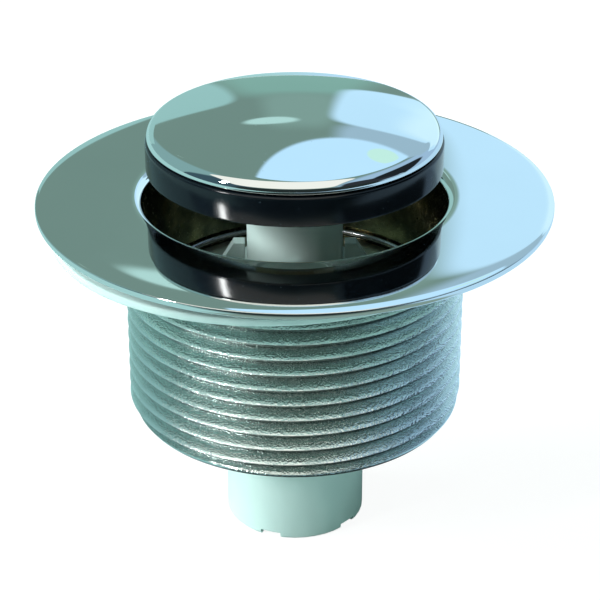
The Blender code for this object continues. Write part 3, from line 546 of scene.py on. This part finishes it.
def rounded(corners, closed=True, steps=4):
    """Points of a section. A corner is (radius, height, rounding), all in metres."""
    points = []
    count = len(corners)
    for i, (r, z, rounding) in enumerate(corners):
        here = Vector((r, z))
        if rounding == 0 or (not closed and i in (0, count - 1)):
            points.append(here)
            continue
        before = Vector(corners[i - 1][:2]) - here
        after = Vector(corners[(i + 1) % count][:2]) - here
        half = before.angle(after) / 2
        reach = min(rounding / math.tan(half), 0.49 * before.length, 0.49 * after.length)
        start, end = here + reach * before.normalized(), here + reach * after.normalized()
        for k in range(steps + 1):
            t = k / steps
            points.append((1 - t) ** 2 * start + 2 * t * (1 - t) * here + t**2 * end)
    return points


def turned(name, points, material, closed=True, steps=TURN_STEPS):
    """Turn a section round the Z axis. A point at radius 0 becomes a single vertex."""
    vertices, rings, faces = [], [], []
    for r, z in points:
        count = 1 if r < 1e-7 else steps
        rings.append((len(vertices), count))
        for i in range(count):
            a = 2 * math.pi * i / steps
            vertices.append((r * math.cos(a), r * math.sin(a), z))
    pairs = list(zip(rings, rings[1:] + rings[:1])) if closed else list(zip(rings, rings[1:]))
    for (first, first_count), (second, second_count) in pairs:
        for i in range(steps):
            j = (i + 1) % steps
            inner = [first + i % first_count, first + j % first_count]
            outer = [second + j % second_count, second + i % second_count]
            faces.append(list(dict.fromkeys(inner + outer)))
    mesh = bpy.data.meshes.new(name)
    mesh.from_pydata(vertices, [], [face for face in faces if len(face) > 2])
    made = bpy.data.objects.new(name, mesh)
    bpy.context.scene.collection.objects.link(made)
    mesh.materials.append(material)
    point_outwards(mesh)
    return made


def point_outwards(mesh, smooth_to=38):
    """Merge doubles, turn every face outwards, and shade smooth between faces that meet gently."""
    bm = bmesh.new()
    bm.from_mesh(mesh)
    bmesh.ops.remove_doubles(bm, verts=bm.verts, dist=1e-6)
    bmesh.ops.dissolve_degenerate(bm, edges=bm.edges, dist=1e-7)
    bmesh.ops.recalc_face_normals(bm, faces=bm.faces)
    bm.to_mesh(mesh)
    bm.free()
    mesh.shade_smooth()
    mesh.set_sharp_from_angle(angle=math.radians(smooth_to))


def triangles(piece):
    return sum(len(face.vertices) - 2 for face in piece.data.polygons)


print("turned pieces have", TURN_STEPS, "steps")

# %% [markdown]
# ## The cast body
# The chromed flange and the tail are one casting. The flange's top has a shallow crown that rises fastest at its
# edge, and rolls over a lip into the mouth. Inside are the bore, the groove for the wire ring and the
# ledge for the spider. The section stays open where the thread will join it.

# %% Section of the flange and the bore
FLANGE_RADIUS, FLANGE_EDGE, FLANGE_CROWN = 36.0 * MM, 1.0 * MM, 0.3 * MM
MOUTH_RADIUS, MOUTH_LIP = 21.1 * MM, 1.4 * MM
SEAT_BORE, LOWER_BORE = 20.15 * MM, 18.4 * MM
LEDGE_Z = RIM_Z - 18.7 * MM
SPIDER_TOP = LEDGE_Z + 3.3 * MM
RING_Z = SPIDER_TOP + 0.75 * MM
RECESS_Z = RIM_Z - 0.75 * MM
THREAD_TOP = RECESS_Z - 1.6 * MM
NECK_RADIUS, THREAD_END_RADIUS = 23.0 * MM, 22.8 * MM

crown = []
outer, inner = FLANGE_RADIUS - 0.3 * MM, MOUTH_RADIUS + MOUTH_LIP
for i in range(1, 41):
    share = i / 40
    crown.append((outer - (outer - inner) * share**1.6, RIM_Z + FLANGE_CROWN * (1 - (1 - share) ** 3), 0))
lip = []
for i in range(1, 15):
    a = math.radians(90 + 90 * i / 15)
    lip.append((inner + MOUTH_LIP * math.cos(a), RIM_Z + FLANGE_CROWN - MOUTH_LIP + MOUTH_LIP * math.sin(a), 0))
edge_bottom = RIM_Z - FLANGE_EDGE
flange_section = [
    (NECK_RADIUS, THREAD_TOP, 0),
    (NECK_RADIUS, RECESS_Z, 0.6 * MM),
    (34.5 * MM, RECESS_Z, 0),
    (34.75 * MM, edge_bottom, 0.1 * MM),
    (FLANGE_RADIUS, edge_bottom, 0.45 * MM),
    (FLANGE_RADIUS, RIM_Z - 0.02 * MM, 0.40 * MM),
    *crown,
    *lip,
    (MOUTH_RADIUS, RIM_Z + FLANGE_CROWN - MOUTH_LIP, 0),
]
bore_section = [
    flange_section[-1],
    (SEAT_BORE, SPIDER_TOP + 1.5 * MM, 0.1 * MM),
    (SEAT_BORE + 0.45 * MM, SPIDER_TOP + 1.5 * MM, 0.1 * MM),
    (SEAT_BORE + 0.45 * MM, SPIDER_TOP, 0.1 * MM),
    (SEAT_BORE, SPIDER_TOP, 0.1 * MM),
    (SEAT_BORE, LEDGE_Z, 0.15 * MM),
    (LOWER_BORE, LEDGE_Z, 0.15 * MM),
    (LOWER_BORE, TAIL_END + 0.8 * MM, 0.15 * MM),
    (LOWER_BORE + 0.8 * MM, TAIL_END, 0.15 * MM),
    (THREAD_END_RADIUS, TAIL_END, 0),
]
casting = turned("waste_casting", rounded(flange_section, closed=False), chrome, closed=False)
bore = turned("bore", rounded(bore_section, closed=False), bore_finish, closed=False)
print("flange:", triangles(casting), "triangles, bore:", triangles(bore))

# %% [markdown]
# ## The thread
# The tail has an inch pipe thread, 11 turns to the inch, so each turn is 2.309 mm. Its shape follows a rule: the
# radius depends only on how far a point is from the nearest crest. That suits Geometry Nodes. A grid is
# rolled into a tube, each column is lifted a little more than the last so that the rows climb one pitch
# in a turn, and a rounded triangle wave sets the radius. Sweeping a profile along a spiral would also
# give a ridge, but its ends would need trimming. Here the ends are limits on the radius: a cone
# cuts the crests at the tail's end, and under the flange the groove runs out.

# %% Geometry Nodes tree for a threaded tube
def geometry_tree(name, sizes):
    """An empty tree with a named input for each size, and a Field for each of them."""
    tree = bpy.data.node_groups.new(name, "GeometryNodeTree")
    tree.interface.new_socket(name="Geometry", in_out="OUTPUT", socket_type="NodeSocketGeometry")
    kinds = {int: "NodeSocketInt", float: "NodeSocketFloat"}
    for label, value in sizes.items():
        kind = kinds.get(type(value), "NodeSocketMaterial")
        made = tree.interface.new_socket(name=label, in_out="INPUT", socket_type=kind)
        if type(value) in kinds:
            made.default_value = value
    inputs = tree.nodes.new("NodeGroupInput")
    return Field(tree), {label: Field(tree, inputs.outputs[label]) for label in sizes}


def close_tree(shape, material):
    """End a tree: realise what is instanced, give it its material, and put it out."""
    real = shape.node("GeometryNodeRealizeInstances", None, {0: shape})
    dressed = shape.node("GeometryNodeSetMaterial", None, {"Geometry": real, "Material": material})
    shape.node("NodeGroupOutput", None, {0: dressed})


def made_by(name, nodes, sizes):
    """Run a tree with its sizes, and keep the result as a plain mesh with its one material in the first slot."""
    carrier = bpy.data.objects.new(name + "_carrier", bpy.data.meshes.new(name + "_carrier"))
    bpy.context.scene.collection.objects.link(carrier)
    modifier = carrier.modifiers.new(name, "NODES")
    modifier.node_group = nodes.tree
    for item in nodes.tree.interface.items_tree:
        if item.in_out == "INPUT":
            modifier[item.identifier] = sizes[item.name]
    ready = carrier.evaluated_get(bpy.context.evaluated_depsgraph_get())
    mesh = bpy.data.meshes.new_from_object(ready)
    bpy.data.objects.remove(carrier)
    mesh.name = name
    mesh.materials.clear()
    mesh.materials.append(sizes["Material"])
    mesh.polygons.foreach_set("material_index", [0] * len(mesh.polygons))
    made = bpy.data.objects.new(name, mesh)
    bpy.context.scene.collection.objects.link(made)
    return made


CREST_POINT = 0.96  # how pointed the crests are: at 1 the wave is a sharp triangle
END_TAPER = 0.75  # how fast the end's cone widens with height
thread_sizes = {
    "Columns": TURN_STEPS,
    "Rows": 180,
    "Rows per turn": 12,
    "Pitch": THREAD_PITCH,
    "Phase": THREAD_PHASE,
    "Crest radius": 23.9 * MM,
    "Depth": 1.479 * MM,
    "Bottom": TAIL_END,
    "Top": THREAD_TOP,
    "End radius": THREAD_END_RADIUS,
    "Neck radius": NECK_RADIUS,
    "Material": thread_plate,
}
nodes, size = geometry_tree("threaded_tube", thread_sizes)
grid = nodes.node("GeometryNodeMeshGrid", None, {
    "Size X": 1.0, "Size Y": 1.0, "Vertices X": size["Columns"] + 1, "Vertices Y": size["Rows"] + 1})
corner = nodes.node("ShaderNodeSeparateXYZ", None, {0: nodes.node("GeometryNodeInputPosition")})
round_share = corner + 0.5
row = (part_of(corner, 1) + 0.5) * size["Rows"]
turns_up = row / size["Rows per turn"] - 2 + round_share + size["Phase"]
raised = nodes.sum("MAXIMUM", size["Bottom"] + turns_up * size["Pitch"], size["Bottom"])
raised = nodes.sum("MINIMUM", raised, size["Top"])
wave = nodes.sum("COSINE", row / size["Rows per turn"] * (2 * math.pi))
ridge = nodes.sum("ARCSINE", wave * CREST_POINT) / math.asin(CREST_POINT) * 0.5 + 0.5
radius = size["Crest radius"] - (1 - ridge) * size["Depth"]
from_end = raised - size["Bottom"]
radius = nodes.sum("MINIMUM", radius, size["End radius"] + from_end * END_TAPER)
rim = 1 - smooth_step(from_end, 0.15 * MM, 0.5 * MM)
radius = radius + rim * nodes.sum("MAXIMUM", size["End radius"] - radius, 0.0)
run_out = 1 - smooth_step(size["Top"] - raised, 0.1 * MM, 1.6 * MM)
radius = radius + run_out * (size["Neck radius"] - radius)
angle = round_share * (2 * math.pi)
rolled = nodes.node("ShaderNodeCombineXYZ", None, {
    0: radius * nodes.sum("COSINE", angle), 1: radius * nodes.sum("SINE", angle), 2: raised})
tube = nodes.node("GeometryNodeSetPosition", None, {"Geometry": grid, "Position": rolled})
tube = nodes.node("GeometryNodeMergeByDistance", None, {"Geometry": tube, "Distance": 1e-6})
close_tree(tube, size["Material"])
thread = made_by("tail_thread", nodes, thread_sizes)

# %% [markdown]
# The thread and the rest of the casting share the same circle of points at both ends. Joined and merged there,
# they become one closed skin, as the real casting is, with the polished chrome and the rough plating
# as two materials on it.

# %% Join the thread to the casting
def joined(first, second):
    """Add the second piece to the first, with its material, and merge what meets."""
    slot_number = len(first.data.materials)
    first.data.materials.append(second.data.materials[0])
    bm = bmesh.new()
    bm.from_mesh(second.data)
    for face in bm.faces:
        face.material_index = slot_number
    bm.to_mesh(second.data)
    bm.clear()
    bm.from_mesh(first.data)
    bm.from_mesh(second.data)
    bm.to_mesh(first.data)
    bm.free()
    bpy.data.objects.remove(second)
    point_outwards(first.data, 50)


def open_edges(piece):
    bm = bmesh.new()
    bm.from_mesh(piece.data)
    count = sum(not edge.is_manifold for edge in bm.edges)
    bm.free()
    return count


joined(casting, bore)
joined(casting, thread)
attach(casting, "housing")
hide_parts("waste_body")
print("whole casting:", triangles(casting), "triangles,", open_edges(casting), "open edges")

# %% [markdown]
# ## The gasket
# A loose white ring hangs on the tail under the flange, lower on its left. It is turned flat, with soft edges, and
# then tilted about the point where it still touches.

# %% Hang the gasket
GASKET_INNER, GASKET_OUTER, GASKET_THICKNESS = 26.0 * MM, 32.9 * MM, 1.2 * MM
gasket_section = [
    (GASKET_INNER, -GASKET_THICKNESS, 0.3 * MM), (GASKET_OUTER, -GASKET_THICKNESS, 0.4 * MM),
    (GASKET_OUTER, 0, 0.4 * MM), (GASKET_INNER, 0, 0.3 * MM)]
gasket = turned("gasket_ring", rounded(gasket_section), gasket_rubber)
tilt = math.radians(2.25)
hang = Vector((-1.5 * MM, 0, RECESS_Z - 0.3 * MM - GASKET_OUTER * math.sin(tilt)))
gasket.data.transform(Matrix.Translation(hang) @ Matrix.Rotation(-tilt, 4, "Y"))
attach(gasket, "housing")
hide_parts("flange_gasket")
print("gasket hangs", round(2 * GASKET_OUTER / MM * math.sin(tilt), 2), "mm lower on its left")

# %% [markdown]
# ## The cap and its seal
# The cap is a shallow dome with a rolled edge. A sphere of one large radius gives it its long, calm
# reflections, so the dome's section follows that arc exactly, and a small arc carries on from it without a
# break and turns the edge down. The rubber ring under it has square shoulders
# with a small rounding, and a thin lip inside. The word engraved in the real cap is left off, and the
# chrome stays bare there.

# %% Draw the dome's section
CAP_RADIUS, CAP_BOTTOM, CAP_WALL = 20.36 * MM, RIM_Z + 9.0 * MM, 1.1 * MM
ROLL, SPHERE = 1.75 * MM, 78.0 * MM
dome_angle = math.asin((CAP_RADIUS - ROLL) / (SPHERE - ROLL))
sphere_centre = CAP_BOTTOM - (SPHERE - ROLL) * math.cos(dome_angle)
roll_points, dome_points = [], []
for i in range(1, 25):
    a = (math.pi / 2 - dome_angle) * i / 24
    roll_points.append((CAP_RADIUS - ROLL + ROLL * math.cos(a), CAP_BOTTOM + ROLL * math.sin(a), 0))
for i in range(1, 41):
    a = dome_angle * (1 - i / 40)
    dome_points.append((SPHERE * math.sin(a), sphere_centre + SPHERE * math.cos(a), 0))
hole_top = sphere_centre + SPHERE - 1.2 * CAP_WALL
inner_sphere = SPHERE - CAP_WALL
boss, wall = 4.2 * MM, CAP_RADIUS - 1.5 * ROLL
dome_section = [
    (0, hole_top, 0),
    (2.3 * MM, hole_top, 0),
    (2.3 * MM, CAP_BOTTOM, 0.1 * MM),
    (boss, CAP_BOTTOM, 0.2 * MM),
    (boss, sphere_centre + math.sqrt(inner_sphere**2 - boss**2), 0.3 * MM),
    (wall, sphere_centre + math.sqrt(inner_sphere**2 - wall**2), 0.3 * MM),
    (CAP_RADIUS - CAP_WALL, CAP_BOTTOM, 0.08 * MM),
    (CAP_RADIUS, CAP_BOTTOM, 0.05 * MM),
    *roll_points,
    *dome_points,
]
print("the dome's half angle is", round(math.degrees(dome_angle), 2), "degrees")

# %% Build the dome
dome = turned("cap_dome_skin", rounded(dome_section, closed=False), chrome, closed=False)
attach(dome, "plug")
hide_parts("cap_dome")
print("dome:", triangles(dome), "triangles,", open_edges(dome), "open edges")

# %% Mould the rubber ring
SEAL_RADIUS, SEAL_BOTTOM, SEAL_TOP = 20.6 * MM, RIM_Z + 4.45 * MM, RIM_Z + 8.7 * MM
seal_section = [
    (17.6 * MM, SEAL_TOP, 0.1 * MM),
    (17.6 * MM, SEAL_BOTTOM + 1.0 * MM, 0.15 * MM),
    (15.0 * MM, SEAL_BOTTOM + 1.0 * MM, 0.2 * MM),
    (15.0 * MM, SEAL_BOTTOM + 0.4 * MM, 0.2 * MM),
    (17.6 * MM, SEAL_BOTTOM, 0.5 * MM),
    (SEAL_RADIUS, SEAL_BOTTOM, 0.35 * MM),
    (SEAL_RADIUS, SEAL_TOP, 0.55 * MM),
]
seal = turned("seal_ring", rounded(seal_section, steps=6), seal_rubber)
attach(seal, "plug")
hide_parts("cap_seal")
print("seal:", triangles(seal), "triangles,", open_edges(seal), "open edges")

# %% [markdown]
# ## Moulded and cast pieces
# The barrel with its wings, the plunger with its heart track, the ribbed carrier and the spider already have the
# right shapes in the engineered model, but their corners are knife sharp and their faces are flat facets.
# A copy of each mesh is merged, its sharp corners get a small bevel, and it is shaded smooth up to an
# angle. That keeps the shape and adds the bright edge line that moulded plastic and castings have.

# %% Soften copies of the engineered pieces
def softened(node, name, material, edge, steps=2):
    """A merged copy of a CAD node, with its sharp corners rounded to a width and its broad faces kept calm."""
    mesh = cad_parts[node].data.copy()
    mesh.name = name
    made = bpy.data.objects.new(name, mesh)
    bpy.context.scene.collection.objects.link(made)
    bm = bmesh.new()
    bm.from_mesh(mesh)
    bmesh.ops.remove_doubles(bm, verts=bm.verts, dist=2e-6)
    bmesh.ops.dissolve_limit(bm, angle_limit=math.radians(1), verts=bm.verts, edges=bm.edges)
    bm.to_mesh(mesh)
    bm.free()
    mesh.materials.clear()
    mesh.materials.append(material)
    mesh.shade_smooth()
    rounding = made.modifiers.new("rounded_edges", "BEVEL")
    rounding.width = edge
    rounding.segments = steps
    rounding.limit_method = "ANGLE"
    rounding.angle_limit = math.radians(30)
    rounding.use_clamp_overlap = True
    rounding.miter_outer = "MITER_ARC"
    calm = made.modifiers.new("calm_faces", "WEIGHTED_NORMAL")
    calm.weight = 100
    ready = made.evaluated_get(bpy.context.evaluated_depsgraph_get())
    rounded_mesh = bpy.data.meshes.new_from_object(ready)
    made.modifiers.clear()
    made.data = rounded_mesh
    return made


softened_pieces = [
    ("cartridge_barrel", "barrel_moulding", moulded_white, 0.14 * MM, "housing", "white_plastic"),
    ("plunger", "plunger_moulding", moulded_white, 0.12 * MM, "plug", "white_plastic"),
    ("seal_carrier", "carrier_moulding", moulded_white, 0.12 * MM, "plug", "white_plastic"),
    ("cartridge_lock_nut", "lock_nut_moulding", moulded_white, 0.12 * MM, "housing", "white_plastic"),
    ("barrel_end_plug", "end_plug_moulding", moulded_white, 0.10 * MM, "housing", "white_plastic"),
    ("spider", "spider_casting", satin_casting, 0.20 * MM, "housing", "satin_cast"),
]
for node, name, material, edge, body, slot in softened_pieces:
    piece = softened(node, name, material, edge)
    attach(piece, body)
    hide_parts(node)
    print(name, triangles(piece), "triangles,", open_edges(piece), "open edges")

# %% [markdown]
# ## Wires
# The ring that keeps the spider down and the plunger's spring are round wire. Both follow a rule, an open circle
# and a coil whose turns close up at the ends, so Geometry Nodes draw the path from its sizes and
# sweep a circle along it.

# %% Tree for a coil or an open ring of wire
wire_sizes = {
    "Points": 360,
    "Turns": 1.0,
    "First angle": 0.0,
    "Path radius": 10 * MM,
    "Wire radius": 0.4 * MM,
    "Start height": 0.0,
    "Rise": 0.0,
    "End closing": 0.35,
    "Material": spring_steel,
}
nodes, size = geometry_tree("wire_path", wire_sizes)
path_line = nodes.node("GeometryNodeMeshLine", None, {0: size["Points"]})
share = nodes.node("GeometryNodeInputIndex") / (size["Points"] - 1)
angle = size["First angle"] + share * size["Turns"] * (2 * math.pi)
eased = share - size["End closing"] * nodes.sum("SINE", share * (2 * math.pi)) / (2 * math.pi)
point = nodes.node("ShaderNodeCombineXYZ", None, {
    0: size["Path radius"] * nodes.sum("COSINE", angle),
    1: size["Path radius"] * nodes.sum("SINE", angle),
    2: size["Start height"] + size["Rise"] * eased})
placed = nodes.node("GeometryNodeSetPosition", None, {"Geometry": path_line, "Position": point})
path_curve = nodes.node("GeometryNodeMeshToCurve", None, {0: placed})
round_section = nodes.node("GeometryNodeCurvePrimitiveCircle", None, {
    "Resolution": 12, "Radius": size["Wire radius"]})
swept = nodes.node("GeometryNodeCurveToMesh", None, {
    "Curve": path_curve, "Profile Curve": round_section, "Fill Caps": True})
close_tree(swept, size["Material"])
print("wire tree has", len(nodes.tree.nodes), "nodes")

# %% Bend the snap ring and coil the spring
ring_gap = math.radians(24)
snap_ring = made_by("snap_ring_wire", nodes, wire_sizes | {
    "Turns": 1 - ring_gap / (2 * math.pi), "First angle": math.pi / 2 + ring_gap / 2,
    "Path radius": SEAT_BORE - 0.25 * MM, "Wire radius": 0.45 * MM, "Start height": RING_Z})
spring_low, spring_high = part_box("plunger_spring")
coil_start, coil_rise = spring_low.z + 0.4 * MM, spring_high.z - spring_low.z - 0.8 * MM
spring = made_by("spring_coil", nodes, wire_sizes | {
    "Points": 541, "Turns": 9.0, "Path radius": spring_high.x - 0.4 * MM,
    "Start height": coil_start, "Rise": coil_rise})
for piece, node in ((snap_ring, "spider_snap_ring"), (spring, "plunger_spring")):
    piece.data.shade_smooth()
    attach(piece, "housing")
    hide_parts(node)
    print(piece.name, triangles(piece), "triangles")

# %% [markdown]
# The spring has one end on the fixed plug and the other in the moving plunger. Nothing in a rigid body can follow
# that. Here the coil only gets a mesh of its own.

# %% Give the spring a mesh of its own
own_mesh(spring)

# %% [markdown]
# ## Small inner parts
# The rest of the engineered parts keep their own meshes, and only get a finish: the brass bush and insert, the
# stud with its nut, the wiper, the washer, the latch pin and its leaf spring.

# %% Finish the parts that keep their shape
kept_finishes = {
    turned_brass: ["guide_bush", "plunger_insert", "stud_lock_nut"],
    spring_steel: ["cap_stud", "latch_pin", "pin_leaf_spring"],
    seal_rubber: ["wiper_ring", "cartridge_washer"],
}
for material, nodes_kept in kept_finishes.items():
    for node in nodes_kept:
        mesh_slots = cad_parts[node].data.materials
        mesh_slots.clear()
        mesh_slots.append(material)
    print(material.name, "on", ", ".join(nodes_kept))

# %% [markdown]
# ## Colour and the size check
# The view transform is left plain, so a colour shows as it was written. The last lines compare the dressed
# object's box with the engineered one.

# %% Compare the boxes and finish
bpy.context.scene.view_settings.view_transform = "Standard"
dressed_box = [list(corner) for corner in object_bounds()]
growth = [round((b - a) / MM, 3) for side in (0, 1) for a, b in zip(engineered_box[side], dressed_box[side])]
print("dressed less engineered, mm:", growth)
